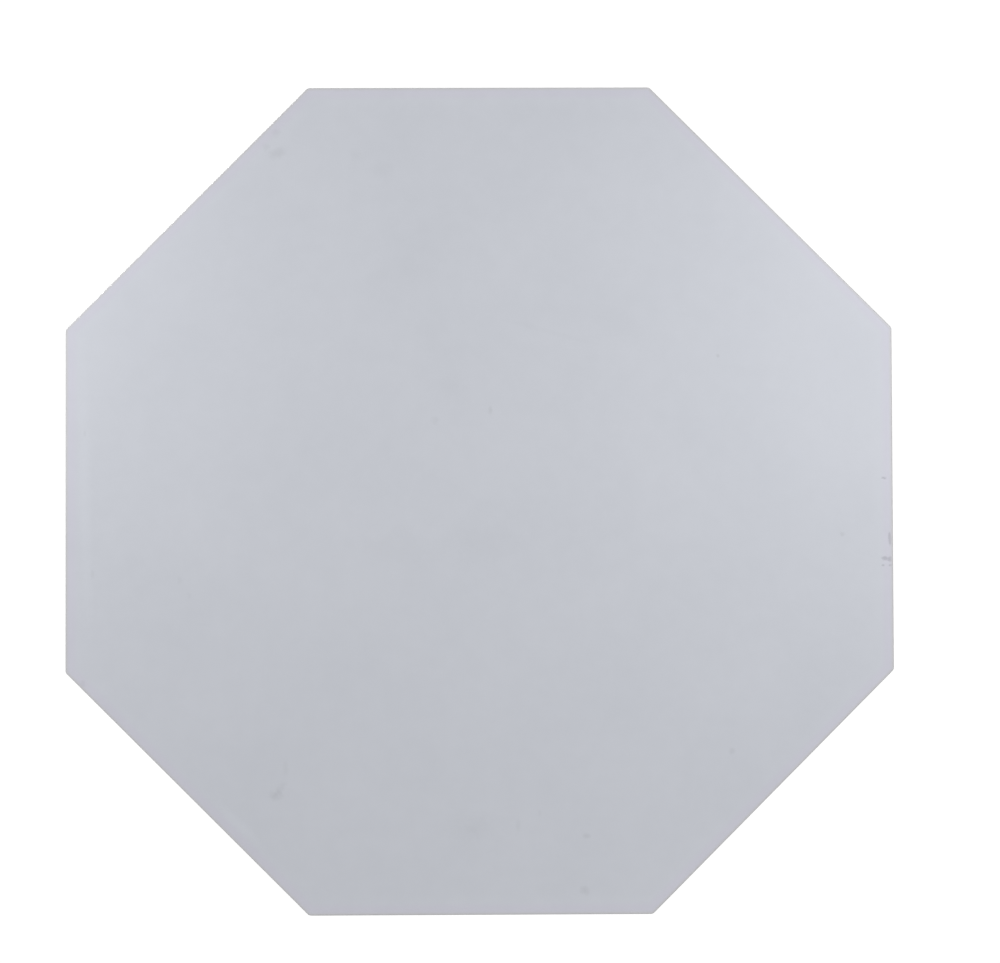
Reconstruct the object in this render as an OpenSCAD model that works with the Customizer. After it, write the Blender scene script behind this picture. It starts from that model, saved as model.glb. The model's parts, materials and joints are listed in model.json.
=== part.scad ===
// Octagonal crokinole board. It lies flat with the playing side up. The origin is the centre of its
// underside, +Z is up, and the front player sits on the -Y side. All sizes are in millimetres.

/* [Frame] */
// Overall width across two opposite flat sides
board_w = 762; // [740:1:800]
// Radius of the eight corners, seen from above
corner_r = 5; // [4.5:0.5:12]
// Thickness of the back panel
panel_t = 6.35; // [5:0.05:9]
// Radius of the panel's eased lower edge
panel_ease = 1.6; // [0.8:0.1:2.4]
// Width of each rail
rail_w = 12.7; // [12:0.1:16]
// Height of each rail above the panel
rail_h = 31.75; // [28:0.05:38]
// Radius of the rounded top edges of the rails
rail_round = 3; // [1:0.25:4]
// Chamfer along each rail's lower outer edge, which shows as a seam over the panel
rail_seam = 0.6; // [0.3:0.1:1]

/* [Playing surface] */
// Diameter of the round playing surface
field_d = 660.4; // [640:0.1:670]
// Thickness of the playing surface
field_t = 12.7; // [11:0.05:15]
// Radius of the playing surface's eased upper edge
field_ease = 1.2; // [0.5:0.1:2]
// Diameter of the centre hole
hole_d = 34.925; // [34:0.025:38]
// Depth of the centre hole
hole_depth = 9.5; // [8:0.1:10]
// Chamfer round the mouth of the centre hole
hole_ease = 0.5; // [0.2:0.1:1]

/* [Posts] */
// Radius of the circle that the posts stand on
post_ring_r = 101.6; // [95:0.1:110]
// Diameter of a post's plain shank
shank_d = 4.17; // [3.8:0.01:4.6]
// Diameter at the root of a post's thread
root_d = 2.9; // [2.6:0.05:3.2]
// Length of a post under its head
post_l = 25.4; // [24:0.1:26]
// Pitch of a post's thread
thread_pitch = 1.6; // [1.4:0.1:1.8]
// Diameter of a post's round head
head_d = 7.6; // [7:0.1:8.4]
// Height of a post's round head
head_h = 2.9; // [2.5:0.1:3.2]

/* [Bumpers] */
// Outer diameter of a rubber bumper
bumper_d = 9.5; // [9:0.1:11]
// Radius of a bumper's rounded rims
bumper_round = 0.6; // [0.3:0.1:1]
// Running clearance all round, between a bumper and its post
bumper_clear = 0.05; // [0.03:0.01:0.1]
// Play at each end of a bumper
bumper_play = 0.2; // [0.1:0.05:0.4]
// Space between the playing surface and a post's head
head_gap = 14.5; // [13:0.1:15.5]

/* [Splines] */
// Thickness of a corner spline
spline_t = 3; // [2.5:0.1:4]
// Width of a corner spline across the mitre
spline_w = 10; // [8:0.5:12]
// Height of a corner spline
spline_h = 22; // [18:0.5:24]

/* [Hidden] */
$fn = 96;
SIDES = 8;
POSTS = 8;
SIDE_NAMES = ["right", "back_right", "back", "back_left", "left", "front_left", "front", "front_right"];
RAIL_NAMES = [for (side = SIDE_NAMES) str("rail_", side)];
POST_NAMES = [for (i = [1 : POSTS]) str("post_", i)];
BUMPER_NAMES = [for (i = [1 : POSTS]) str("bumper_", i)];

TURN = 360 / SIDES;
HALF = TURN / 2;
// Steps of angle round a corner of the board, and over a rounded edge of the panel or a rail
ARC_STEP = HALF / 3;
EDGE_STEP = 15;
// How far a cutting shape reaches past the surface that it cuts
OVER = 1;

// Distances from the board's centre to a side, to a rail's inner face, and to a corner's rounding centre
flat_r = board_w / 2;
inner_r = flat_r - rail_w;
corner_c = (flat_r - corner_r) / cos(HALF);
rail_top = panel_t + rail_h;

field_top = panel_t + field_t;
head_z = field_top + head_gap;
tip_z = head_z - post_l;
shank_r = shank_d / 2;
root_r = root_d / 2;
// The post's point, its thread's turns, and the start of the plain shank
point_h = 2;
thread_turns = 4;
shank_z = tip_z + point_h + thread_turns * thread_pitch;
// The driver slot in a post's head
slot_w = 1.1;
slot_depth = 1.3;
// The pilot hole ends this far below a post's tip, and is wider round the plain shank
pilot_extra = 1;
shank_clear = 0.05;

// A spline stands on the mitre plane, at the middle of the rail's width, in a slot with a little slack
spline_r = (flat_r - rail_w / 2) / cos(HALF);
spline_slack = 0.05;

// The plan of the corner after a side, inset, between two angles from the side's own direction
function corner(side, inset, from, to) = let (middle = TURN * side + HALF)
    [for (angle = [from : ARC_STEP : to])
        corner_c * [cos(middle), sin(middle)]
            + (corner_r - inset) * [cos(TURN * side + angle), sin(TURN * side + angle)]];

// How far a rounded edge of radius r has drawn in, and how far it is below its top, at an angle up its arc
function drawn_in(r, angle) = r * (1 - cos(angle));
function below(r, angle) = r * (1 - sin(angle));

// What rounding the corner at [x, y] takes away. in_x and in_y, 1 or -1, point into the solid
module rounding(x, y, r, in_x, in_y) {
    translate([x, y])
        difference() {
            translate([in_x * (r - OVER) / 2, in_y * (r - OVER) / 2]) square(r + OVER, center = true);
            translate([in_x * r, in_y * r]) circle(r);
        }
}

// Eight copies round the board
module for_sides() {
    for (i = [0 : SIDES - 1]) rotate([0, 0, TURN * i]) children();
}

// A flat slab from one height to another
module slab(low, high) {
    translate([0, 0, low]) linear_extrude(high - low) children();
}

module board_plan(inset) {
    polygon([for (i = [0 : SIDES - 1]) each corner(i, inset, 0, TURN)]);
}

module base_panel() {
    color("gainsboro")
        hull()
            for (angle = [0 : EDGE_STEP : 90])
                slab(below(panel_ease, angle), panel_t) board_plan(drawn_in(panel_ease, angle));
}

// The plan of the rail on +X: the inner edge from mitre to mitre, and the outer edge with half a corner
// at each end
module rail_plan(outer_inset, inner_inset) {
    x = inner_r + inner_inset;
    y = x * tan(HALF);
    polygon(concat([[x, -y]], corner(-1, outer_inset, HALF, TURN), corner(0, outer_inset, 0, HALF), [[x, y]]));
}

module rail(i) {
    seam_top = panel_t + rail_seam;
    color("saddlebrown")
        rotate([0, 0, TURN * i])
            difference() {
                hull() {
                    slab(panel_t, seam_top) rail_plan(rail_seam, 0);
                    for (angle = [0 : EDGE_STEP : 90]) {
                        inset = drawn_in(rail_round, angle);
                        slab(seam_top, rail_top - below(rail_round, angle)) rail_plan(inset, inset);
                    }
                }
                spline(1, spline_slack);
                spline(-1, spline_slack);
            }
}

// One spline, across the mitre at one end of the side, or its slot when there is slack
module spline(side, slack) {
    t = spline_t + 2 * slack;
    w = spline_w + 2 * slack;
    rotate([0, 0, side * HALF])
        translate([spline_r - t / 2, -w / 2, panel_t - slack]) cube([t, w, spline_h + 2 * slack]);
}

module corner_splines() {
    color("burlywood") for_sides() spline(1, 0);
}

module playing_surface() {
    r = field_d / 2;
    hole_r = hole_d / 2;
    color("wheat")
        difference() {
            translate([0, 0, panel_t]) cylinder(r = r, h = field_t);
            rotate_extrude() rounding(r, field_top, field_ease, -1, -1);
            translate([0, 0, field_top - hole_depth]) cylinder(r = hole_r, h = hole_depth + OVER);
            translate([0, 0, field_top - hole_ease])
                cylinder(r1 = hole_r, r2 = hole_r + hole_ease + OVER, h = hole_ease + OVER);
            for_posts() {
                translate([0, 0, tip_z - pilot_extra]) cylinder(r = root_r, h = field_t);
                translate([0, 0, shank_z]) cylinder(r = shank_r + shank_clear, h = field_t);
            }
        }
}

module at_post(i) {
    rotate([0, 0, TURN * (i - 1) + HALF]) translate([post_ring_r, 0, 0]) children();
}

module for_posts() {
    for (i = [1 : POSTS]) at_post(i) children();
}

// A round-head wood screw: point, thread drawn as ridges, plain shank, domed head with a driver slot
module post(i) {
    crest = 0.15;
    dome_r = (head_d * head_d / 4 + head_h * head_h) / (2 * head_h);
    ridges = [for (k = [0 : thread_turns - 1])
        let (z = tip_z + point_h + k * thread_pitch)
            each [[root_r, z], [shank_r, z + thread_pitch / 2], [shank_r, z + thread_pitch / 2 + crest]]];
    color("silver")
        at_post(i)
            difference() {
                rotate_extrude() {
                    polygon(concat(
                        [[0, head_z], [0, tip_z]],
                        ridges,
                        [[root_r, shank_z], [shank_r, shank_z + shank_r - root_r], [shank_r, head_z]]
                    ));
                    intersection() {
                        translate([0, head_z + head_h - dome_r]) circle(dome_r);
                        translate([0, head_z]) square([head_d, head_h + OVER]);
                    }
                }
                translate([0, 0, head_z + head_h + (OVER - slot_depth) / 2])
                    cube([slot_w, head_d + OVER, slot_depth + OVER], center = true);
            }
}

module bumper(i) {
    low = field_top + bumper_play;
    high = head_z - bumper_play;
    bore_r = shank_r + bumper_clear;
    color("dimgray")
        at_post(i)
            rotate_extrude()
                difference() {
                    translate([bore_r, low]) square([bumper_d / 2 - bore_r, high - low]);
                    rounding(bumper_d / 2, high, bumper_round, -1, -1);
                    rounding(bumper_d / 2, low, bumper_round, -1, 1);
                }
}

base_panel();
playing_surface();
corner_splines();
for (i = [0 : SIDES - 1]) rail(i);
for (i = [1 : POSTS]) post(i);
for (i = [1 : POSTS]) bumper(i);
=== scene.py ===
import json
import math

import bmesh
import bpy
from mathutils import Matrix, Vector, geometry, noise


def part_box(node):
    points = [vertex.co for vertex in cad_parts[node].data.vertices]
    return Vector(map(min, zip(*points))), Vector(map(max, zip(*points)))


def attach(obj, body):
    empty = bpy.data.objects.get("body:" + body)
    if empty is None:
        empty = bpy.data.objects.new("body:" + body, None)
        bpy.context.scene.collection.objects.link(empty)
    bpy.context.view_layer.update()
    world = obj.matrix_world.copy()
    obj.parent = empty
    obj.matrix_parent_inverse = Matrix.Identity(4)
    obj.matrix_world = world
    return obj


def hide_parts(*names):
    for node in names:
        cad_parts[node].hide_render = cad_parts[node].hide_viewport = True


# An octagonal crokinole board that lies flat, playing side up. The camera is below it and looks up
# at the plain back. Everything is in metres, in the CAD model's own frame.
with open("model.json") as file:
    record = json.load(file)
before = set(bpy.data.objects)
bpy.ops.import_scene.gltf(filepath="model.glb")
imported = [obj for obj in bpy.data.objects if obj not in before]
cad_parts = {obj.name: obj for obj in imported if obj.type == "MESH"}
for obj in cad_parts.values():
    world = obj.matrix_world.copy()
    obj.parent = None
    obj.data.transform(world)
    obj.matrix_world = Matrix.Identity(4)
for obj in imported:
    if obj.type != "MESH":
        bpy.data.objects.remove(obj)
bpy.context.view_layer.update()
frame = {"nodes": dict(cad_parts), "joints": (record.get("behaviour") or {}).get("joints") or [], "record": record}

# Sizes that the frame gives
SIDES = 8
TURN = 2 * math.pi / SIDES
HALF = TURN / 2
FLAT_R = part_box("base_panel")[1].x
PANEL_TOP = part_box("base_panel")[1].z
RAIL_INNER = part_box("rail_right")[0].x
RAIL_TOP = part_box("rail_right")[1].z
FIELD_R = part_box("playing_surface")[1].x
FIELD_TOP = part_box("playing_surface")[1].z
POST_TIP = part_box("post_1")[0].z
POST_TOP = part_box("post_1")[1].z
SLEEVE_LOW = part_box("bumper_1")[0].z
SLEEVE_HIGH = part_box("bumper_1")[1].z
HOLE_R = next(m for m in frame["record"]["mounts"] if m["name"] == "centre_hole")["dims"]["r_mm"] / 1000
SLEEVES = {joint["child"]: Vector(joint["pos_m"]) for joint in frame["joints"]}

# Small shapes of the CAD design
CORNER_R = 0.005
PANEL_EASE = 0.0016
RAIL_ROUND = 0.003
RAIL_SEAM = 0.0006
FIELD_EASE = 0.0012
HOLE_EASE = 0.0005
HOLE_DEPTH = 0.0095
SPLINE_SLOT = (0.0031, 0.0101, 0.0221)
SHANK_R = 0.002085
ROOT_R = 0.00145
SHANK_CLEAR = 0.00005
PILOT_END = 0.001
THREAD_PITCH = 0.0016
THREAD_TURNS = 4
POINT_LENGTH = 0.002
HEAD_R = 0.0038
HEAD_HEIGHT = 0.0029
HEAD_SLOT = (0.0011, 0.0013)
SLEEVE_R = 0.00475
SLEEVE_BORE = 0.002135
SLEEVE_ROUND = 0.0006

# The lines on the playing surface
LINE_WIDTH = 0.0016
LINE_BLUR = 0.0001
RINGS = (0.1016, 0.2032, 0.3048)

# A loop this close to a rounded edge keeps the flat face beside it flat in shading
SUPPORT = 0.0003

FLOOR_R = 5
FLOOR_GAP = 0.0001


def make_camera():
    """Almost on the board's axis, with the board's back edge at the bottom of the picture."""
    place = Vector((0.0119, 0.001, -1.2786))
    aim = Vector((0.0187, -0.0166, PANEL_EASE))
    roll = math.radians(0.2)
    forward = (aim - place).normalized()
    right = forward.cross(Vector((math.sin(roll), -math.cos(roll), 0))).normalized()
    up = right.cross(forward)
    data = bpy.data.cameras.new("camera")
    data.lens = 50
    data.sensor_width = 36
    camera = bpy.data.objects.new("camera", data)
    camera.matrix_world = Matrix.Translation(place) @ Matrix((right, up, -forward)).transposed().to_4x4()
    bpy.context.scene.collection.objects.link(camera)
    bpy.context.scene.camera = camera


# ---------------------------------------------------------------- node helper


class Graph:
    """The node tree of one material or world, with a short call for each kind of node that is used."""

    def __init__(self, tree):
        self.tree = tree
        tree.nodes.clear()

    def node(self, kind, inputs=None, **settings):
        made = self.tree.nodes.new(kind)
        for key, value in settings.items():
            setattr(made, key, value)
        for key, value in (inputs or {}).items():
            self.put(made.inputs[key], value)
        return made

    def put(self, socket, value):
        if isinstance(value, bpy.types.NodeSocket):
            self.tree.links.new(value, socket)
        elif value is not None:
            socket.default_value = value

    def math(self, operation, a, b=None, c=None):
        made = self.node("ShaderNodeMath", operation=operation)
        for socket, value in zip(made.inputs, (a, b, c)):
            self.put(socket, value)
        return made.outputs[0]

    def vector(self, operation, a, b=None):
        made = self.node("ShaderNodeVectorMath", operation=operation)
        for socket, value in zip(made.inputs, (a, b)):
            self.put(socket, value)
        return made.outputs["Value" if operation in ("LENGTH", "DOT_PRODUCT", "DISTANCE") else "Vector"]

    def place(self):
        """The point in the piece's own space."""
        return self.node("ShaderNodeTexCoord").outputs["Object"]

    def parts(self, vector):
        return self.node("ShaderNodeSeparateXYZ", {"Vector": vector}).outputs

    def point(self, x, y, z):
        return self.node("ShaderNodeCombineXYZ", {"X": x, "Y": y, "Z": z}).outputs[0]

    def noise(self, vector, scale, detail=3.0, rough=0.5):
        inputs = {"Vector": vector, "Scale": scale, "Detail": detail, "Roughness": rough}
        return self.node("ShaderNodeTexNoise", inputs).outputs[0]

    def range(self, value, low, high, to_low=0.0, to_high=1.0):
        """Value between low and high, as a smooth step from to_low to to_high."""
        inputs = {"Value": value, "From Min": low, "From Max": high, "To Min": to_low, "To Max": to_high}
        return self.node("ShaderNodeMapRange", inputs, interpolation_type="SMOOTHSTEP").outputs[0]

    def ramp(self, value, *stops):
        made = self.node("ShaderNodeValToRGB", {"Fac": value})
        ramp = made.color_ramp
        while len(ramp.elements) < len(stops):
            ramp.elements.new(0.5)
        for element, (position, colour) in zip(ramp.elements, stops):
            element.position = position
            element.color = (*colour, 1)
        return made.outputs[0]

    def mix(self, factor, a, b, blend="MIX"):
        made = self.node("ShaderNodeMix", {"Factor": factor}, data_type="RGBA", blend_type=blend)
        self.put(made.inputs[6], a if isinstance(a, bpy.types.NodeSocket) else (*a, 1))
        self.put(made.inputs[7], b if isinstance(b, bpy.types.NodeSocket) else (*b, 1))
        return made.outputs[2]

    def bump(self, height, distance, strength=1.0, normal=None):
        inputs = {"Height": height, "Distance": distance, "Strength": strength, "Normal": normal}
        return self.node("ShaderNodeBump", inputs).outputs[0]


def material(name):
    made = bpy.data.materials.new(name)
    made.use_nodes = True
    return made, Graph(made.node_tree)


def surface(graph, **inputs):
    """Ends a material in one Principled shader. An underscore in a name stands for a space."""
    named = {key.replace("_", " "): value for key, value in inputs.items()}
    shader = graph.node("ShaderNodeBsdfPrincipled", named)
    graph.node("ShaderNodeOutputMaterial", {"Surface": shader.outputs[0]})


# ---------------------------------------------------------------- materials

# Faint marks on the back: x, y, length, width (mm), angle (degrees), and how much darker each one is.
# The last two are rubbed streaks, which are paler
MARKS = (
    (220, -132, 4, 4, 0, 0.10),
    (231, 232, 7, 7, 40, 0.07),
    (97, 309, 8, 6, 0, 0.08),
    (95, 359, 10, 9, 20, 0.075),
    (-188, 271, 15, 10, 0, 0.08),
    (-184, 265, 20, 7, 128, 0.05),
    (-179, 246, 17, 7, 90, 0.035),
    (-186, -320, 18, 12, 160, 0.07),
    (-196, -326, 8, 8, 0, 0.05),
    (-187, -339, 9, 11, 0, 0.05),
    (-76, 46, 76, 44, 8, 0.020),
    (4, 41, 74, 36, 0, 0.018),
    (-22, -101, 40, 24, 30, 0.016),
    (67, -154, 110, 6, 15, 0.014),
    (128, -160, 70, 30, 25, 0.014),
    (10, -82, 5, 9, 0, 0.07),
    (-41, -73, 9, 9, 0, 0.04),
    (-8, 302, 16, 9, 10, 0.02),
    (-8, 300, 54, 32, 0, 0.02),
    (34, 299, 6, 13, 0, 0.04),
    (54, 288, 5, 8, 0, 0.03),
    (-89, -306, 24, 19, 0, 0.018),
    (-114, -319, 12, 12, 0, 0.02),
    (-59, -226, 130, 50, 133, 0.012),
    (-365, 168, 7, 9, 0, 0.06),
    (-276, 73, 5, 9, 0, 0.03),
    (-267, 88, 5, 8, 0, 0.03),
    (-356, 67, 4, 9, 0, 0.05),
    (-363, -62, 3, 8, 0, 0.05),
    (334, 33, 6, 5, 0, 0.08),
    (-362, 5, 290, 13, 89, -0.025),
    (-222, 297, 66, 12, 44, -0.025),
)

# The faint cast of the back's outer rim
LILAC = (1.0, 0.97, 1.0)


def tinted(graph, tone, shade):
    """The tone, darker or lighter by a factor."""
    return graph.mix(1.0, tone, graph.point(shade, shade, shade), "MULTIPLY")


def from_axis(graph, place):
    """How far a point is from the board's axis."""
    x, y, _ = graph.parts(place)
    return graph.vector("LENGTH", graph.point(x, y, 0.0))


def octagon_inset(graph, place):
    """How far a point is inside the octagon's sides."""
    x, y, _ = graph.parts(place)
    farthest = None
    for side in range(SIDES // 2):
        angle = side * TURN
        across = graph.math("MULTIPLY_ADD", x, math.cos(angle), graph.math("MULTIPLY", y, math.sin(angle)))
        across = graph.math("ABSOLUTE", across)
        farthest = across if farthest is None else graph.math("MAXIMUM", farthest, across)
    return graph.math("SUBTRACT", FLAT_R, farthest)


def marks(graph, place):
    """How much the marks darken a point. Only the back has them."""
    total = 0.0
    ragged = graph.noise(place, 260, 2)
    for x, y, length, width, angle, dark in MARKS:
        mapped = graph.node(
            "ShaderNodeMapping",
            {
                "Vector": place,
                "Location": (x / 1000, y / 1000, 0),
                "Rotation": (0, 0, math.radians(angle)),
                "Scale": (length / 2000, width / 2000, 1),
            },
            vector_type="TEXTURE",
        )
        away = graph.math("ADD", graph.vector("LENGTH", mapped.outputs[0]), ragged)
        total = graph.math("ADD", total, graph.range(away, 0.7, 1.7, dark, 0))
    _, _, z = graph.parts(place)
    return graph.math("MULTIPLY", total, graph.math("LESS_THAN", z, PANEL_TOP / 2))


def panel_material():
    """Pale grey-white satin lacquer, a little mottled, with faint handling marks, a rubbed edge, and a painted
    highlight that brightens the band just inside the edge.
    """
    made, graph = material("panel_satin")
    place = graph.place()
    clouds = graph.noise(place, 9, 4, 0.55)
    mottle = graph.noise(place, 55, 3, 0.6)
    tone = graph.ramp(clouds, (0.3, (0.668, 0.692, 0.751)), (0.7, (0.688, 0.710, 0.769)))
    shade = graph.math("SUBTRACT", graph.range(mottle, 0.3, 0.7, 0.993, 1.007), marks(graph, place))
    inset = octagon_inset(graph, place)
    # Painted highlight: from 4 to 24 mm in from the edge the back is made up to 1.8 % brighter, as if a slightly
    # crowned edge caught more of the bright surroundings
    shade = graph.math("MULTIPLY", shade, graph.range(inset, 0.004, 0.024, 1.018, 1))
    tone = graph.mix(graph.range(inset, 0.006, 0.013, 1, 0), tone, LILAC, "MULTIPLY")
    chip = graph.node("ShaderNodeAttribute", attribute_name="chip").outputs["Fac"]
    shade = graph.math("MULTIPLY", shade, graph.math("MULTIPLY_ADD", chip, -0.2, 1))
    worn = graph.range(inset, 0, 0.004, 1, 0)
    colour = graph.mix(worn, tinted(graph, tone, shade), (0.66, 0.66, 0.665))
    rough = graph.math("MULTIPLY_ADD", chip, 0.25, graph.range(mottle, 0.3, 0.7, 0.42, 0.5))
    normal = graph.bump(graph.noise(place, 700, 2), 0.00002, 0.35)
    surface(graph, Base_Color=colour, Roughness=rough, Specular_IOR_Level=0.3, Normal=normal)
    return made


def growth(graph, distance, spacing):
    """Growth rings across a distance: pale, darkening slowly to 1 at a sharp ring border."""
    share = graph.math("FRACT", graph.math("DIVIDE", distance, spacing))
    late = graph.math("POWER", share, 3.0)
    return graph.math("MULTIPLY", late, graph.range(share, 0.94, 1.0, 1, 0))


def along_grain(graph, place, along, across_scale, along_scale, detail=2, rough=0.5):
    """Noise drawn out along one axis of the wood."""
    scale = [across_scale] * 3
    scale[along] = along_scale
    return graph.noise(graph.vector("MULTIPLY", place, scale), 1.0, detail, rough)


def rail_material(seed):
    """Dark oiled walnut with its grain along the rail. The seed moves the grain, so no two rails match."""
    made, graph = material(f"rail_hardwood_{seed}")
    place = graph.vector("ADD", graph.place(), (0.13 * seed, 0.71 * seed, 0.05 * seed))
    x, _, z = graph.parts(place)
    drift = along_grain(graph, place, 1, 22, 2.2, 3)
    wave = along_grain(graph, place, 1, 130, 11, 2)
    # The rings lie round the tree's heart, bent by slow and quick waves
    heart = graph.point(graph.math("MULTIPLY", x, 0.8), 0.0, graph.math("MULTIPLY", z, 1.1))
    distance = graph.math("MULTIPLY_ADD", drift, 0.05, graph.vector("LENGTH", heart))
    distance = graph.math("MULTIPLY_ADD", wave, 0.003, distance)
    rings = growth(graph, distance, 0.0042)
    streak = along_grain(graph, place, 1, 160, 3, 2)
    fibre = along_grain(graph, place, 1, 2600, 60, 3, 0.6)
    pore = graph.range(along_grain(graph, place, 1, 2100, 170, 1), 0.66, 0.74)
    browns = ((0.3, (0.105, 0.047, 0.021)), (0.55, (0.155, 0.074, 0.034)), (0.75, (0.205, 0.106, 0.051)))
    tone = graph.ramp(streak, *browns)
    shade = graph.range(rings, 0, 1, 1.08, 0.62)
    shade = graph.math("MULTIPLY", shade, graph.range(fibre, 0.3, 0.7, 0.84, 1.12))
    tone = graph.mix(graph.math("MULTIPLY", pore, 0.75), tinted(graph, tone, shade), (0.022, 0.011, 0.007))
    rough = graph.math("MULTIPLY_ADD", pore, 0.2, graph.range(fibre, 0.3, 0.7, 0.34, 0.44))
    height = graph.math("SUBTRACT", graph.math("MULTIPLY", fibre, 0.3), pore)
    normal = graph.bump(height, 0.00005, 0.6)
    surface(graph, Base_Color=tone, Roughness=rough, Specular_IOR_Level=0.35, Normal=normal)
    return made


def maple(graph, place):
    """Plain-sliced maple veneer in book-matched leaves along X, and its fine fibres."""
    x, y, _ = graph.parts(place)
    # Each leaf mirrors the one beside it, and has a slightly different shade
    leaf = 0.22
    shifted = graph.math("ADD", y, 1.5 * leaf)
    folded = graph.math("PINGPONG", shifted, leaf)
    turned = graph.range(graph.math("PINGPONG", shifted, 2 * leaf), leaf - 0.0001, leaf + 0.0001)
    joint = graph.math("MINIMUM", folded, graph.math("SUBTRACT", leaf, folded))
    flat = graph.point(x, folded, 0.0)
    swirl = along_grain(graph, flat, 0, 11, 2.2, 3, 0.5)
    wave = along_grain(graph, flat, 0, 60, 9, 2)
    # The rings lie round a heart that sinks slowly along the leaf, which makes long flames
    across = graph.math("SUBTRACT", folded, 0.42 * leaf)
    down = graph.math("MULTIPLY", graph.math("ADD", x, 0.45), 0.11)
    distance = graph.vector("LENGTH", graph.point(down, across, 0.0))
    distance = graph.math("MULTIPLY_ADD", swirl, 0.06, distance)
    distance = graph.math("MULTIPLY_ADD", wave, 0.004, distance)
    rings = growth(graph, distance, 0.0085)
    fibre = along_grain(graph, place, 0, 2200, 50, 3, 0.6)
    fleck = graph.range(along_grain(graph, place, 0, 1500, 240, 1), 0.62, 0.74)
    cloud = along_grain(graph, flat, 0, 16, 4, 2)
    curl = along_grain(graph, flat, 1, 45, 9, 2)
    tone = graph.ramp(cloud, (0.3, (0.655, 0.465, 0.275)), (0.7, (0.735, 0.545, 0.340)))
    tone = graph.mix(graph.math("MULTIPLY", rings, 0.5), tone, (0.53, 0.335, 0.175))
    shade = graph.range(fibre, 0.3, 0.7, 0.955, 1.03)
    shade = graph.math("MULTIPLY", shade, graph.range(curl, 0.3, 0.7, 0.975, 1.02))
    shade = graph.math("MULTIPLY", shade, graph.math("MULTIPLY_ADD", turned, 0.035, 0.98))
    shade = graph.math("MULTIPLY", shade, graph.range(joint, 0, 0.0003, 0.8, 1))
    tone = graph.mix(graph.math("MULTIPLY", fleck, 0.22), tinted(graph, tone, shade), (0.40, 0.24, 0.12))
    return tone, fibre


def game_lines(graph, place, radius):
    """The black lines of the game, from 0 to 1: three rings, and four lines that part the outer ring."""
    x, y, _ = graph.parts(place)
    low = LINE_WIDTH / 2 - LINE_BLUR
    high = LINE_WIDTH / 2 + LINE_BLUR
    ink = 0.0
    for ring_r in RINGS:
        away = graph.math("ABSOLUTE", graph.math("SUBTRACT", radius, ring_r))
        ink = graph.math("MAXIMUM", ink, graph.range(away, low, high, 1, 0))
    away = graph.math("SUBTRACT", graph.math("ABSOLUTE", x), graph.math("ABSOLUTE", y))
    away = graph.math("MULTIPLY", graph.math("ABSOLUTE", away), math.sqrt(0.5))
    quadrant = graph.range(away, low, high, 1, 0)
    quadrant = graph.math("MULTIPLY", quadrant, graph.math("GREATER_THAN", radius, RINGS[1]))
    quadrant = graph.math("MULTIPLY", quadrant, graph.math("LESS_THAN", radius, RINGS[2]))
    return graph.math("MAXIMUM", ink, quadrant)


def field_material():
    """Pale maple with the game's black lines under a polished lacquer, which is duller on the eased rim."""
    made, graph = material("field_maple")
    place = graph.place()
    tone, fibre = maple(graph, place)
    radius = from_axis(graph, place)
    ink = game_lines(graph, place, radius)
    cover = graph.math("MULTIPLY", ink, graph.range(fibre, 0.3, 0.7, 0.93, 1.0))
    tone = graph.mix(cover, tone, (0.018, 0.016, 0.015))
    polish = graph.noise(place, 11, 4, 0.6)
    rough = graph.math("MULTIPLY_ADD", ink, 0.05, graph.range(polish, 0.3, 0.7, 0.22, 0.32))
    ease = FIELD_R - FIELD_EASE
    rough = graph.math("ADD", rough, graph.range(radius, ease - SUPPORT, ease, 0, 0.25))
    ripple = graph.bump(graph.noise(place, 35, 2), 0.00012, 0.2)
    normal = graph.bump(fibre, 0.00001, 0.3, ripple)
    surface(
        graph, Base_Color=tone, Roughness=rough, Specular_IOR_Level=0.4,
        Coat_Weight=0.3, Coat_Roughness=0.2, Normal=normal,
    )
    return made


def ply_material():
    """The cut edge of plywood: thin plies, alternately long grain and end grain."""
    made, graph = material("field_edge")
    place = graph.place()
    _, _, z = graph.parts(place)
    plies = 9
    height = graph.math("MULTIPLY_ADD", graph.noise(place, 25, 3), 0.0004, z)
    level = graph.math("DIVIDE", graph.math("SUBTRACT", height, PANEL_TOP), FIELD_TOP - PANEL_TOP)
    ply = graph.math("PINGPONG", graph.math("MULTIPLY", level, plies), 1.0)
    end = graph.range(ply, 0.42, 0.58)
    glue = graph.range(graph.math("ABSOLUTE", graph.math("SUBTRACT", ply, 0.5)), 0.0, 0.09, 1, 0)
    fibre = graph.noise(graph.vector("MULTIPLY", place, (400, 400, 2600)), 1.0, 3)
    tone = graph.mix(end, (0.60, 0.42, 0.24), (0.36, 0.215, 0.11))
    tone = tinted(graph, tone, graph.range(fibre, 0.25, 0.75, 0.72, 1.14))
    tone = graph.mix(graph.math("MULTIPLY", glue, 0.7), tone, (0.11, 0.06, 0.03))
    normal = graph.bump(graph.math("SUBTRACT", fibre, graph.math("MULTIPLY", glue, 0.8)), 0.00005, 0.6)
    surface(graph, Base_Color=tone, Roughness=graph.range(fibre, 0.3, 0.7, 0.4, 0.55), Normal=normal)
    return made


def drilled_material():
    """The floor of a drilled hole: bare ply with the cutter's rings."""
    made, graph = material("field_drilled")
    place = graph.place()
    radius = from_axis(graph, place)
    fibre = along_grain(graph, place, 1, 1400, 60, 3, 0.6)
    streak = along_grain(graph, place, 1, 260, 20)
    spacing = 0.0011
    rings = graph.math("PINGPONG", graph.math("DIVIDE", radius, spacing), 0.5)
    tone = graph.ramp(streak, (0.35, (0.50, 0.335, 0.185)), (0.65, (0.60, 0.415, 0.240)))
    shade = graph.range(fibre, 0.3, 0.7, 0.86, 1.06)
    shade = graph.math("MULTIPLY", shade, graph.range(rings, 0, 0.5, 0.94, 1.03))
    normal = graph.bump(graph.math("ADD", rings, fibre), 0.00008, 0.6)
    surface(graph, Base_Color=tinted(graph, tone, shade), Roughness=0.6, Normal=normal)
    return made


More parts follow.
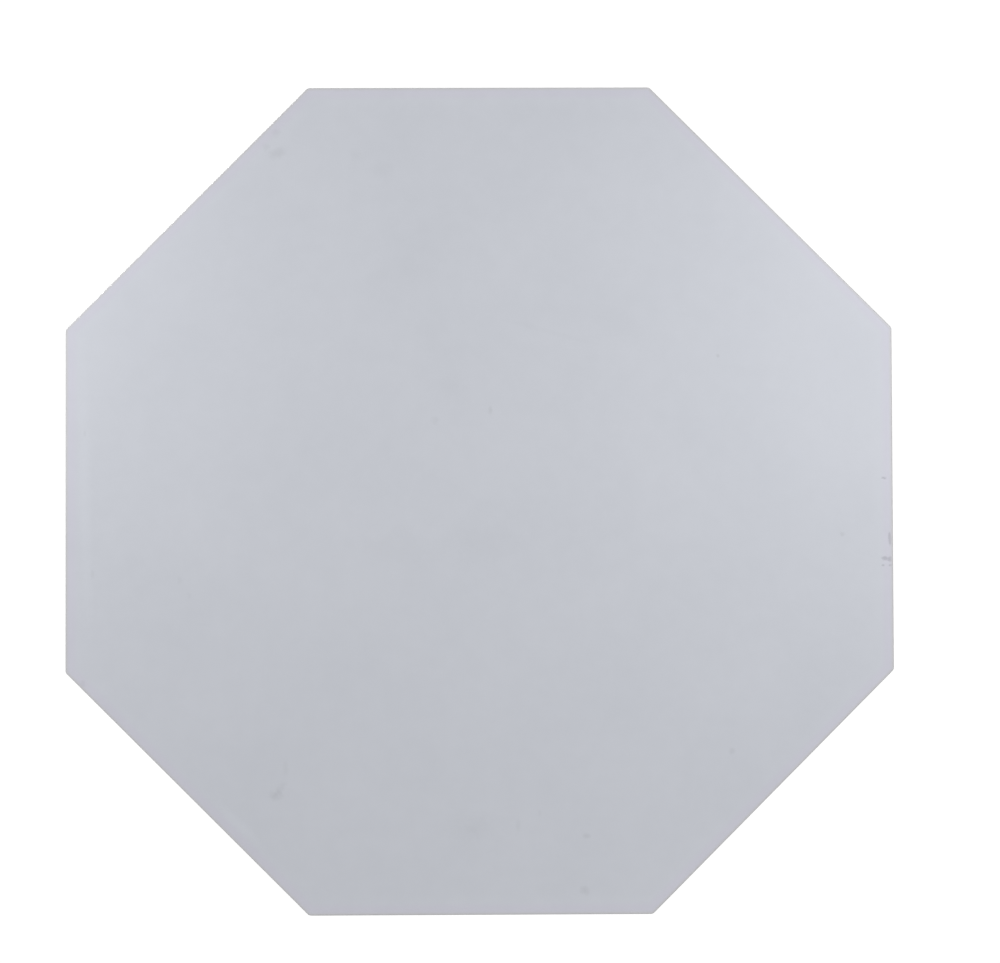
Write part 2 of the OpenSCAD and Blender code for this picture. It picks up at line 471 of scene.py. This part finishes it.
def spline_material():
    """Bare straight-grained hardwood."""
    made, graph = material("spline_wood")
    place = graph.place()
    fibre = along_grain(graph, place, 2, 1800, 60, 3, 0.6)
    streak = along_grain(graph, place, 2, 500, 12)
    tone = graph.ramp(streak, (0.3, (0.42, 0.27, 0.14)), (0.7, (0.56, 0.38, 0.21)))
    tone = tinted(graph, tone, graph.range(fibre, 0.3, 0.7, 0.8, 1.1))
    rough = graph.range(fibre, 0.3, 0.7, 0.55, 0.7)
    surface(graph, Base_Color=tone, Roughness=rough, Normal=graph.bump(fibre, 0.00006))
    return made


def steel_material():
    """Bright zinc plating with fine turning lines and a few scuffs."""
    made, graph = material("post_zinc")
    place = graph.place()
    _, _, z = graph.parts(place)
    cloud = graph.noise(place, 900, 3)
    lines = graph.noise(graph.point(0.0, 0.0, z), 9000, 2)
    tone = graph.ramp(cloud, (0.3, (0.58, 0.585, 0.59)), (0.7, (0.70, 0.70, 0.69)))
    rough = graph.math("MULTIPLY_ADD", lines, 0.08, graph.range(cloud, 0.3, 0.7, 0.18, 0.32))
    normal = graph.bump(lines, 0.000006, 0.5)
    surface(graph, Base_Color=tone, Metallic=1.0, Roughness=rough, Normal=normal)
    return made


def rubber_material():
    """Matt black rubber, greyed a little where the playing discs strike it."""
    made, graph = material("bumper_rubber")
    place = graph.place()
    _, _, z = graph.parts(place)
    speck = graph.noise(place, 2600, 3, 0.6)
    scuffs = graph.noise(graph.vector("MULTIPLY", place, (500, 500, 160)), 1.0, 3)
    struck_height = FIELD_TOP + 0.006
    away = graph.math("ABSOLUTE", graph.math("SUBTRACT", z, struck_height))
    worn = graph.math("MULTIPLY", graph.range(away, 0.001, 0.004, 1, 0), graph.range(scuffs, 0.45, 0.65))
    tone = graph.ramp(speck, (0.35, (0.018, 0.018, 0.019)), (0.65, (0.028, 0.028, 0.029)))
    tone = graph.mix(graph.math("MULTIPLY", worn, 0.55), tone, (0.085, 0.083, 0.080))
    rough = graph.math("MULTIPLY_ADD", worn, 0.12, graph.range(speck, 0.3, 0.7, 0.5, 0.62))
    normal = graph.bump(speck, 0.00002, 0.6)
    surface(graph, Base_Color=tone, Roughness=rough, Specular_IOR_Level=0.4, Normal=normal)
    return made


# ---------------------------------------------------------------- mesh helpers


# Size of the triangles that fill a flat face
FILL_SPACING = 0.02


class Skin:
    """A closed mesh put together from loops of points."""

    def __init__(self):
        self.points = []
        self.faces = []
        self.slots = []

    def loop(self, points):
        """Adds points and returns their indices."""
        start = len(self.points)
        self.points.extend(points)
        return list(range(start, len(self.points)))

    def face(self, indices, slot=0):
        self.faces.append(indices)
        self.slots.append(slot)

    def bridge(self, a, b, slot=0):
        """Quads between two closed loops of the same length."""
        for k in range(len(a)):
            n = (k + 1) % len(a)
            self.face((a[k], a[n], b[n], b[k]), slot)

    def wall(self, loops, slot=0):
        for a, b in zip(loops, loops[1:]):
            self.bridge(a, b, slot)

    def fill(self, loops, slot=0, spacing=FILL_SPACING):
        """Even triangles over the flat face inside the first loop and outside the others."""
        rims = [[Vector(self.points[i][:2]) for i in loop] for loop in loops]
        known = [i for loop in loops for i in loop]
        height = self.points[known[0]][2]
        edges = []
        for loop in loops:
            start = len(edges)
            edges += [(start + k, start + (k + 1) % len(loop)) for k in range(len(loop))]
        flat = [point for rim in rims for point in rim] + lattice(rims, spacing)
        only_inside = 1
        found = geometry.delaunay_2d_cdt(flat, edges, [], only_inside, 1e-7)
        points, _, triangles, sources, _, _ = found
        indices = []
        for point, (source, *_) in zip(points, sources):
            if source < len(known):
                indices.append(known[source])
            else:
                indices += self.loop([(point.x, point.y, height)])
        for triangle in triangles:
            middle = sum((points[k] for k in triangle), Vector((0, 0))) / 3
            if not any(inside(middle, rim) for rim in rims[1:]):
                self.face([indices[k] for k in triangle], slot)

    def mesh(self, name):
        made = bpy.data.meshes.new(name)
        made.from_pydata(self.points, [], self.faces)
        made.polygons.foreach_set("material_index", self.slots)
        shell = bmesh.new()
        shell.from_mesh(made)
        bmesh.ops.recalc_face_normals(shell, faces=shell.faces)
        shell.to_mesh(made)
        shell.free()
        smooth(made)
        return made


def lattice(rims, spacing):
    """Points of a triangular grid inside the first rim and outside the others, clear of them all."""
    outer, *holes = rims
    clear = spacing * 0.6
    row_height = spacing * math.sqrt(3) / 2
    reach = max(point.length for point in outer)
    rows = int(reach / row_height) + 1
    columns = int(reach / spacing) + 1
    points = []
    for row in range(-rows, rows + 1):
        for column in range(-columns, columns + 1):
            point = Vector(((column + 0.5 * (row % 2)) * spacing, row * row_height))
            if not inside(point, outer) or any(inside(point, rim) for rim in holes):
                continue
            if all((point - other).length > clear for rim in rims for other in rim):
                points.append(point)
    return points


def inside(point, rim):
    """Whether a point is inside a closed rim: a line from it crosses the rim an odd number of times."""
    odd = False
    for a, b in zip(rim, rim[1:] + rim[:1]):
        if (a.y > point.y) != (b.y > point.y):
            if point.x < a.x + (b.x - a.x) * (point.y - a.y) / (b.y - a.y):
                odd = not odd
    return odd


def smooth(mesh, angle=40):
    """Smooth shading, but sharp where faces meet at more than the angle (degrees)."""
    mesh.shade_smooth()
    mesh.set_sharp_from_angle(angle=math.radians(angle))


def ring(radius, z, centre=(0, 0), steps=96):
    """A level circle of points."""
    angles = [2 * math.pi * k / steps for k in range(steps)]
    return [(centre[0] + radius * math.cos(a), centre[1] + radius * math.sin(a), z) for a in angles]


def quarter(steps):
    """Angles from 0 to a quarter turn."""
    return [math.pi / 2 * k / steps for k in range(steps + 1)]


def show(node, mesh, materials, body, place=Matrix()):
    """Puts a mesh in place as the piece that stands for a CAD node and rides on its body."""
    for entry in materials:
        mesh.materials.append(entry)
    piece = bpy.data.objects.new(f"{node}_visual", mesh)
    bpy.context.scene.collection.objects.link(piece)
    piece.matrix_world = place
    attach(piece, body)
    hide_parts(node)


def cut(mesh, *cutters):
    """The mesh with each cutter's shape taken away."""
    target = bpy.data.objects.new("cut_target", mesh)
    bpy.context.scene.collection.objects.link(target)
    for cutter in cutters:
        modifier = target.modifiers.new("cut", "BOOLEAN")
        modifier.operation = "DIFFERENCE"
        modifier.solver = "EXACT"
        modifier.object = cutter
    bpy.context.view_layer.update()
    evaluated = target.evaluated_get(bpy.context.evaluated_depsgraph_get())
    made = bpy.data.meshes.new_from_object(evaluated)
    for used in (target, *cutters):
        bpy.data.objects.remove(used)
    return made


def block(size, place, turn=0.0):
    """A box to cut with, from its sizes, its centre and its turn about Z."""
    shell = bmesh.new()
    bmesh.ops.create_cube(shell, size=1)
    matrix = Matrix.Rotation(turn, 4, "Z") @ Matrix.Translation(place) @ Matrix.Diagonal((*size, 1))
    bmesh.ops.transform(shell, matrix=matrix, verts=shell.verts)
    mesh = bpy.data.meshes.new("block")
    shell.to_mesh(mesh)
    shell.free()
    made = bpy.data.objects.new("block", mesh)
    bpy.context.scene.collection.objects.link(made)
    return made


# ---------------------------------------------------------------- back panel

# Chips in the back near the right-hand edge: x, y, length, width (mm), angle (degrees) and depth (mm)
CHIPS = (
    (372.6, -18.5, 4.8, 1.8, 4, 0.25),
    (377.9, 37.5, 13, 3.0, 86, 0.35),
    (373.2, 55.6, 6.2, 3.8, 12, 0.45),
    (377.6, 56.4, 5.0, 4.2, 60, 0.4),
    (371.2, 61.8, 3.0, 1.6, 0, 0.12),
    (378.2, 62.0, 3.0, 2.4, 0, 0.2),
)
# Rows of points this far apart run along the edge, in a band that takes in all the chips
ROW_STEP = 0.0007
CHIPPED_WIDTH = 0.014


def chip_depth(x, y):
    """Depth of the chips at a point of the back, in metres, and how much of a chip it is, from 0 to 1."""
    depth = 0
    share = 0
    reach = 1.25
    fade = 0.6
    for cx, cy, length, width, angle, deep in CHIPS:
        turn = math.radians(angle)
        dx = x * 1000 - cx
        dy = y * 1000 - cy
        along = (dx * math.cos(turn) + dy * math.sin(turn)) / (length / 2)
        across = (dy * math.cos(turn) - dx * math.sin(turn)) / (width / 2)
        ragged = 0.35 * noise.noise(Vector((x * 900, y * 900, cx)))
        within = min(max((reach - math.hypot(along, across) + ragged) / fade, 0), 1)
        within = within * within * (3 - 2 * within)
        depth = max(depth, deep / 1000 * within)
        share = max(share, within)
    return depth, share


def side_steps(side):
    """Where points lie along a side, from -1 to 1: close together beside the chips, which are on side 0."""
    coarse = [k / 20 - 1 for k in range(41)]
    if side:
        return coarse
    low = -0.18
    high = 0.42
    count = 120
    clear = 0.02
    fine = [low + (high - low) * k / count for k in range(count + 1)]
    return [s for s in coarse if s < low - clear] + fine + [s for s in coarse if s > high + clear]


def outline(inset):
    """The board's rounded octagon drawn in by inset, as (x, y) points, counter-clockwise."""
    corner_steps = 10
    least_round = 0.0005
    round_r = max(CORNER_R - inset, least_round)
    middle_r = FLAT_R - inset - round_r
    half_length = middle_r * math.tan(HALF)
    points = []
    for side in range(SIDES):
        turn = Matrix.Rotation(side * TURN, 2)
        for step in side_steps(side):
            points.append(turn @ Vector((middle_r + round_r, step * half_length)))
        for k in range(1, corner_steps):
            angle = TURN * k / corner_steps
            offset = Vector((math.cos(angle), math.sin(angle))) * round_r
            points.append(turn @ (Vector((middle_r, half_length)) + offset))
    return points


def base_panel():
    """The back panel, with an eased lower edge and real chips near the right-hand edge."""
    skin = Skin()
    # Each row of points: how far in it lies, its height, and how far the surface has turned under
    rows = [(0.0, PANEL_TOP, 0.0), (0.0, (PANEL_TOP + PANEL_EASE) / 2, 0.0)]
    for angle in quarter(8):
        rows.append((PANEL_EASE * (1 - math.cos(angle)), PANEL_EASE * (1 - math.sin(angle)), angle))
    count = int((CHIPPED_WIDTH - PANEL_EASE) / ROW_STEP)
    rows += [(PANEL_EASE + ROW_STEP * k, 0.0, math.pi / 2) for k in range(1, count + 1)]
    loops = []
    chipped = []
    for inset, z, angle in rows:
        points = []
        for x, y in outline(inset):
            depth, share = chip_depth(x, y) if z <= PANEL_EASE else (0, 0)
            chipped.append(share)
            points.append((x - depth * math.cos(angle), y, z + depth * math.sin(angle)))
        loops.append(skin.loop(points))
    skin.wall(loops)
    skin.fill([loops[-1]])
    skin.fill([loops[0]])
    mesh = skin.mesh("base_panel_visual")
    chip = mesh.attributes.new("chip", "FLOAT", "POINT")
    chip.data.foreach_set("value", chipped + [0.0] * (len(mesh.vertices) - len(chipped)))
    show("base_panel", mesh, [panel_material()], "board")


# ---------------------------------------------------------------- rails

RAIL_NAMES = [n for n in frame["nodes"] if n.startswith("rail_")]
# A fine V joint where two rails meet
MITRE_EASE = 0.00015


def rail_profile(shrink):
    """A rail's section, drawn in by shrink, from the outer foot to the inner one. Its points are
    (distance from the board's centre, height)."""
    foot = PANEL_TOP + shrink
    outer = FLAT_R - shrink
    inner = RAIL_INNER + shrink
    top = RAIL_TOP - shrink
    r = RAIL_ROUND - shrink
    points = [(outer - RAIL_SEAM, foot), (outer, foot + RAIL_SEAM)]
    points.append((outer, foot + RAIL_SEAM + SUPPORT))
    points.append((outer, top - r - SUPPORT))
    points += [(outer - r * (1 - math.cos(a)), top - r * (1 - math.sin(a))) for a in quarter(8)]
    points.append((outer - r - SUPPORT, top))
    points.append((inner + r + SUPPORT, top))
    points += [(inner + r * (1 - math.sin(a)), top - r * (1 - math.cos(a))) for a in quarter(8)]
    points.append((inner, top - r - SUPPORT))
    points.append((inner, foot))
    return points


def rail_station(profile, share, turn):
    """The profile at a place along the rail. Share, from -1 to 1, is the place along the straight part,
    and turn is how far the place has gone round the corner after it."""
    points = []
    corner_length = CORNER_R * math.sin(HALF)
    for x, z in profile:
        round_r = max(CORNER_R - (FLAT_R - x), 0)
        if round_r:
            straight = (x - round_r) * math.tan(HALF)
            px = x - round_r + round_r * math.cos(turn)
            py = share * straight + round_r * math.sin(turn)
        else:
            straight = x * math.tan(HALF) - corner_length
            px = x
            py = share * straight + corner_length * turn / HALF
        points.append((px, py, z))
    return points


def rail_mesh():
    """The rail on +X, between its two mitres, with a slot for a spline in each end."""
    skin = Skin()
    plain = rail_profile(0)
    corner_steps = 8
    nearly = 1 - MITRE_EASE / (CORNER_R * math.sin(HALF))
    turns = [HALF * k / corner_steps for k in range(1, corner_steps)] + [HALF * nearly]
    ends = rail_profile(MITRE_EASE)
    stations = [rail_station(ends, -1, -HALF)]
    stations += [rail_station(plain, -1, -turn) for turn in reversed(turns)]
    stations += [rail_station(plain, k / 10 - 1, 0) for k in range(21)]
    stations += [rail_station(plain, 1, turn) for turn in turns]
    stations.append(rail_station(ends, 1, HALF))
    loops = [skin.loop(station) for station in stations]
    skin.wall(loops)
    skin.face(list(reversed(loops[0])))
    skin.face(loops[-1])
    mesh = skin.mesh("rail")
    thick, wide, high = SPLINE_SLOT
    over = 0.001
    centre = Vector(((FLAT_R + RAIL_INNER) / 2 / math.cos(HALF), 0, PANEL_TOP + (high - over) / 2))
    made = cut(mesh, *[block((thick, wide, high + over), centre, side * HALF) for side in (-1, 1)])
    smooth(made)
    return made


def rails():
    """One pattern, turned to the eight sides, with a material for each."""
    pattern = rail_mesh()
    for seed, node in enumerate(sorted(RAIL_NAMES)):
        middle = sum(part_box(node), Vector()) / 2
        turn = round(math.atan2(middle.y, middle.x) / TURN) * TURN
        show(node, pattern.copy(), [rail_material(seed)], "board", Matrix.Rotation(turn, 4, "Z"))


# ---------------------------------------------------------------- playing surface

# The playing surface's material slots
FACE = 0
PLIES = 1
DRILLED = 2


def field_rim(skin):
    """The disc's edge, eased at the top. Returns its lowest and its highest loop."""
    steps = 256
    edge = [(FIELD_R, PANEL_TOP), (FIELD_R, (PANEL_TOP + FIELD_TOP) / 2)]
    for angle in quarter(6):
        r = FIELD_R - FIELD_EASE * (1 - math.cos(angle))
        edge.append((r, FIELD_TOP - FIELD_EASE * (1 - math.sin(angle))))
    edge.append((FIELD_R - FIELD_EASE - SUPPORT, FIELD_TOP))
    loops = [skin.loop(ring(r, z, steps=steps)) for r, z in edge]
    # The veneer wraps the last part of the rounding
    veneer = 4
    skin.wall(loops[:-veneer], PLIES)
    skin.wall(loops[-veneer - 1:], FACE)
    return loops[0], loops[-1]


def centre_hole(skin):
    """The blind centre hole: an eased mouth, a straight wall, and a floor with the drill's centre mark."""
    floor = FIELD_TOP - HOLE_DEPTH
    mark_r = 0.0015
    mark_depth = 0.0012
    wall = [(HOLE_R + HOLE_EASE + SUPPORT, FIELD_TOP)]
    for angle in quarter(4):
        r = HOLE_R + HOLE_EASE * (1 - math.sin(angle))
        wall.append((r, FIELD_TOP - HOLE_EASE * (1 - math.cos(angle))))
    wall += [(HOLE_R, floor + SUPPORT), (HOLE_R, floor)]
    base = [(HOLE_R - SUPPORT, floor), (mark_r + SUPPORT, floor), (mark_r, floor)]
    base.append((mark_r / 12, floor - mark_depth))
    wall = [skin.loop(ring(r, z)) for r, z in wall]
    base = [wall[-1]] + [skin.loop(ring(r, z)) for r, z in base]
    skin.wall(wall, PLIES)
    skin.wall(base, DRILLED)
    skin.face(base[-1], DRILLED)
    return wall[0]


def pilot_hole(skin, place):
    """A stepped hole for a post, wider round the plain shank."""
    shank_z = POST_TIP + POINT_LENGTH + THREAD_TURNS * THREAD_PITCH
    wide = SHANK_R + SHANK_CLEAR
    sizes = [(wide, FIELD_TOP), (wide, shank_z), (ROOT_R, shank_z), (ROOT_R, POST_TIP - PILOT_END)]
    bore = [skin.loop(ring(r, z, place, 32)) for r, z in sizes]
    skin.wall(bore, PLIES)
    skin.face(bore[-1], DRILLED)
    return bore[0]


def playing_surface():
    """The round playing disc with its centre hole and a pilot hole for each post."""
    skin = Skin()
    low, high = field_rim(skin)
    holes = [centre_hole(skin)] + [pilot_hole(skin, place) for place in SLEEVES.values()]
    skin.fill([high, *holes], FACE)
    skin.fill([low], PLIES, 2 * FILL_SPACING)
    finishes = [field_material(), ply_material(), drilled_material()]
    show("playing_surface", skin.mesh("playing_surface_visual"), finishes, "board")


# ---------------------------------------------------------------- posts and sleeves


def thread_rise(height, angle):
    """How far the thread stands out, from 0 at its root to 1 at its crest, at a height up the thread."""
    half_width = 0.32
    phase = (height / THREAD_PITCH - angle / (2 * math.pi)) % 1
    return 1 - min(abs(phase - 0.5) / half_width, 1)


def post_mesh():
    """A slotted round-head wood screw about the Z axis, with a true helical thread."""
    skin = Skin()
    steps = 48
    tip_r = 0.0002
    thread_low = POST_TIP + POINT_LENGTH
    thread_length = THREAD_TURNS * THREAD_PITCH
    head_z = POST_TOP - HEAD_HEIGHT
    neck = SHANK_R - ROOT_R
    point = [(tip_r, POST_TIP), (ROOT_R * 0.7, POST_TIP + POINT_LENGTH * 0.6)]
    loops = [ring(r, z, steps=steps) for r, z in point]
    rows = THREAD_TURNS * 10
    for row in range(rows + 1):
        height = thread_length * row / rows
        fade = min(1, row / 8, (rows - row) / 4)
        points = []
        for k in range(steps):
            angle = 2 * math.pi * k / steps
            r = ROOT_R + neck * thread_rise(height, angle) * fade
            points.append((r * math.cos(angle), r * math.sin(angle), thread_low + height))
        loops.append(points)
    lip = 0.0002
    shank_z = thread_low + thread_length + neck
    plain = [(SHANK_R, shank_z), (SHANK_R, head_z - SUPPORT), (SHANK_R, head_z)]
    plain += [(SHANK_R + SUPPORT, head_z), (HEAD_R - lip, head_z), (HEAD_R, head_z + lip)]
    dome_r = (HEAD_R ** 2 + HEAD_HEIGHT ** 2) / (2 * HEAD_HEIGHT)
    dome_angle = math.asin(HEAD_R / dome_r)
    dome_steps = 12
    for k in range(1, dome_steps):
        angle = dome_angle * (1 - k / dome_steps)
        # The dome's first rows stay above the lip
        z = max(POST_TOP - dome_r + dome_r * math.cos(angle), head_z + lip + 0.00005 * k)
        plain.append((dome_r * math.sin(angle), z))
    loops += [ring(r, z, steps=steps) for r, z in plain]
    loops = [skin.loop(points) for points in loops]
    skin.wall(loops)
    ends = skin.loop([(0, 0, POST_TIP), (0, 0, POST_TOP)])
    for k in range(steps):
        n = (k + 1) % steps
        skin.face((ends[0], loops[0][n], loops[0][k]))
        skin.face((ends[1], loops[-1][k], loops[-1][n]))
    width, depth = HEAD_SLOT
    slot = block((width, 4 * HEAD_R, 2 * depth), Vector((0, 0, POST_TOP)))
    made = cut(skin.mesh("post"), slot)
    smooth(made, 30)
    return made


def sleeve_mesh():
    """A rubber sleeve about the Z axis: rounded rims and one faint moulding line down its side."""
    skin = Skin()
    steps = 96
    seam_height = 0.00006
    seam_width = math.radians(3)
    r = SLEEVE_ROUND
    rows = [(SLEEVE_BORE, SLEEVE_LOW + r / 2, 0), (SLEEVE_BORE, SLEEVE_HIGH - r / 2, 0)]
    rows += [(SLEEVE_BORE + r / 6, SLEEVE_HIGH - r / 8, 0), (SLEEVE_BORE + r / 2, SLEEVE_HIGH, 0)]
    top = [(SLEEVE_R - r * (1 - math.sin(a)), SLEEVE_HIGH - r * (1 - math.cos(a))) for a in quarter(6)]
    low = [(x, SLEEVE_LOW + SLEEVE_HIGH - z) for x, z in reversed(top)]
    rows += [(x, z, 1) for x, z in top]
    rows += [(x, z, 1) for x, z in low]
    rows += [(SLEEVE_BORE + r / 2, SLEEVE_LOW, 0), (SLEEVE_BORE + r / 6, SLEEVE_LOW + r / 8, 0)]
    loops = []
    for x, z, outside in rows:
        points = []
        for k in range(steps):
            angle = 2 * math.pi * k / steps
            away = abs((angle + math.pi) % (2 * math.pi) - math.pi)
            seam = outside * seam_height * max(0, 1 - away / seam_width)
            points.append(((x + seam) * math.cos(angle), (x + seam) * math.sin(angle), z))
        loops.append(skin.loop(points))
    skin.wall(loops)
    skin.bridge(loops[-1], loops[0])
    return skin.mesh("sleeve")


def posts_and_sleeves():
    """Each post has a sleeve of the same number, which rides on a body of its own."""
    steel = steel_material()
    rubber = rubber_material()
    post = post_mesh()
    sleeve = sleeve_mesh()
    # Screws stop at different turns
    turn_apart = 2.4
    for body, place in SLEEVES.items():
        number = int(body.split("_")[1])
        stand = Matrix.Translation((place.x, place.y, 0)) @ Matrix.Rotation(number * turn_apart, 4, "Z")
        show(f"post_{number}", post.copy(), [steel], "board", stand)
        show(f"bumper_{number}", sleeve.copy(), [rubber], body, stand)


# ---------------------------------------------------------------- floor and light


def make_floor():
    """A pale floor that fades out far from the board. It is clear from below, where the camera is, and
    clear to light under the board, so that light from below reaches the back."""
    shell = bmesh.new()
    bmesh.ops.create_circle(shell, cap_ends=True, segments=96, radius=FLOOR_R)
    mesh = bpy.data.meshes.new("floor")
    shell.to_mesh(mesh)
    shell.free()
    floor = bpy.data.objects.new("floor", mesh)
    floor.location.z = -FLOOR_GAP
    bpy.context.scene.collection.objects.link(floor)
    made, graph = material("floor")
    place = graph.place()
    far = graph.range(graph.vector("LENGTH", place), FLOOR_R * 0.12, FLOOR_R * 0.9)
    covered = graph.math("GREATER_THAN", octagon_inset(graph, place), 0)
    # Under the board, the floor is there for the camera only
    camera_ray = graph.node("ShaderNodeLightPath").outputs["Is Camera Ray"]
    under = graph.math("SUBTRACT", covered, camera_ray)
    below = graph.node("ShaderNodeNewGeometry").outputs["Backfacing"]
    paint = graph.node("ShaderNodeBsdfDiffuse", {"Color": (0.84, 0.84, 0.85, 1)})
    clear = graph.node("ShaderNodeBsdfTransparent")
    share = graph.math("MAXIMUM", far, graph.math("MAXIMUM", under, below))
    mixed = graph.node("ShaderNodeMixShader", {0: share, 1: paint.outputs[0], 2: clear.outputs[0]})
    graph.node("ShaderNodeOutputMaterial", {"Surface": mixed.outputs[0]})
    mesh.materials.append(made)


def make_world():
    """White all round: pure white to the camera, and as a light brighter from below than from above."""
    world = bpy.data.worlds.new("world")
    world.use_nodes = True
    graph = Graph(world.node_tree)
    seen = 1.05
    from_below = 0.55
    from_above = 0.36
    _, _, z = graph.parts(graph.node("ShaderNodeTexCoord").outputs["Generated"])
    lit = graph.range(z, -0.1, 0.1, from_below, from_above)
    camera_ray = graph.node("ShaderNodeLightPath").outputs["Is Camera Ray"]
    strength = graph.node("ShaderNodeMix", {0: camera_ray, 2: lit, 3: seen}).outputs[0]
    white = graph.node("ShaderNodeBackground", {"Color": (1, 1, 1, 1), "Strength": strength})
    graph.node("ShaderNodeOutputWorld", {"Surface": white.outputs[0]})
    bpy.context.scene.world = world
    bpy.context.scene.view_settings.view_transform = "Standard"


def add_light(name, data, place):
    """Aims a light from a place at the board's centre."""
    light = bpy.data.objects.new(name, data)
    light.location = place
    light.rotation_mode = "QUATERNION"
    light.rotation_quaternion = (-Vector(place)).to_track_quat("-Z", "Y")
    light.visible_camera = False
    bpy.context.scene.collection.objects.link(light)


def softbox(name, place, width, power):
    data = bpy.data.lights.new(name, "AREA")
    data.shape = "SQUARE"
    data.size = width
    data.energy = power
    add_light(name, data, place)


def make_lights():
    """Soft lights: three below for the back, and an even key with two softboxes above."""
    softbox("below_right", (0.574, -0.234, -0.562), 0.5, 1.64)
    softbox("below_left", (-0.676, -0.278, -0.4), 0.5, 1.38)
    softbox("below_back", (0.164, 0.882, -0.35), 0.5, 0.5)
    key = bpy.data.lights.new("above_key", "SUN")
    key.energy = 2.3
    key.angle = math.radians(20)
    add_light("above_key", key, (-1.2, -0.9, 2.2))
    softbox("above_left", (-1.3, 0.6, 1.5), 1.0, 3)
    softbox("above_right", (1.4, 1.0, 1.3), 1.2, 3)


make_camera()
make_world()
make_lights()
make_floor()
base_panel()
rails()
playing_surface()
posts_and_sleeves()
splines = frame["nodes"]["corner_splines"]
splines.data.materials.clear()
splines.data.materials.append(spline_material())
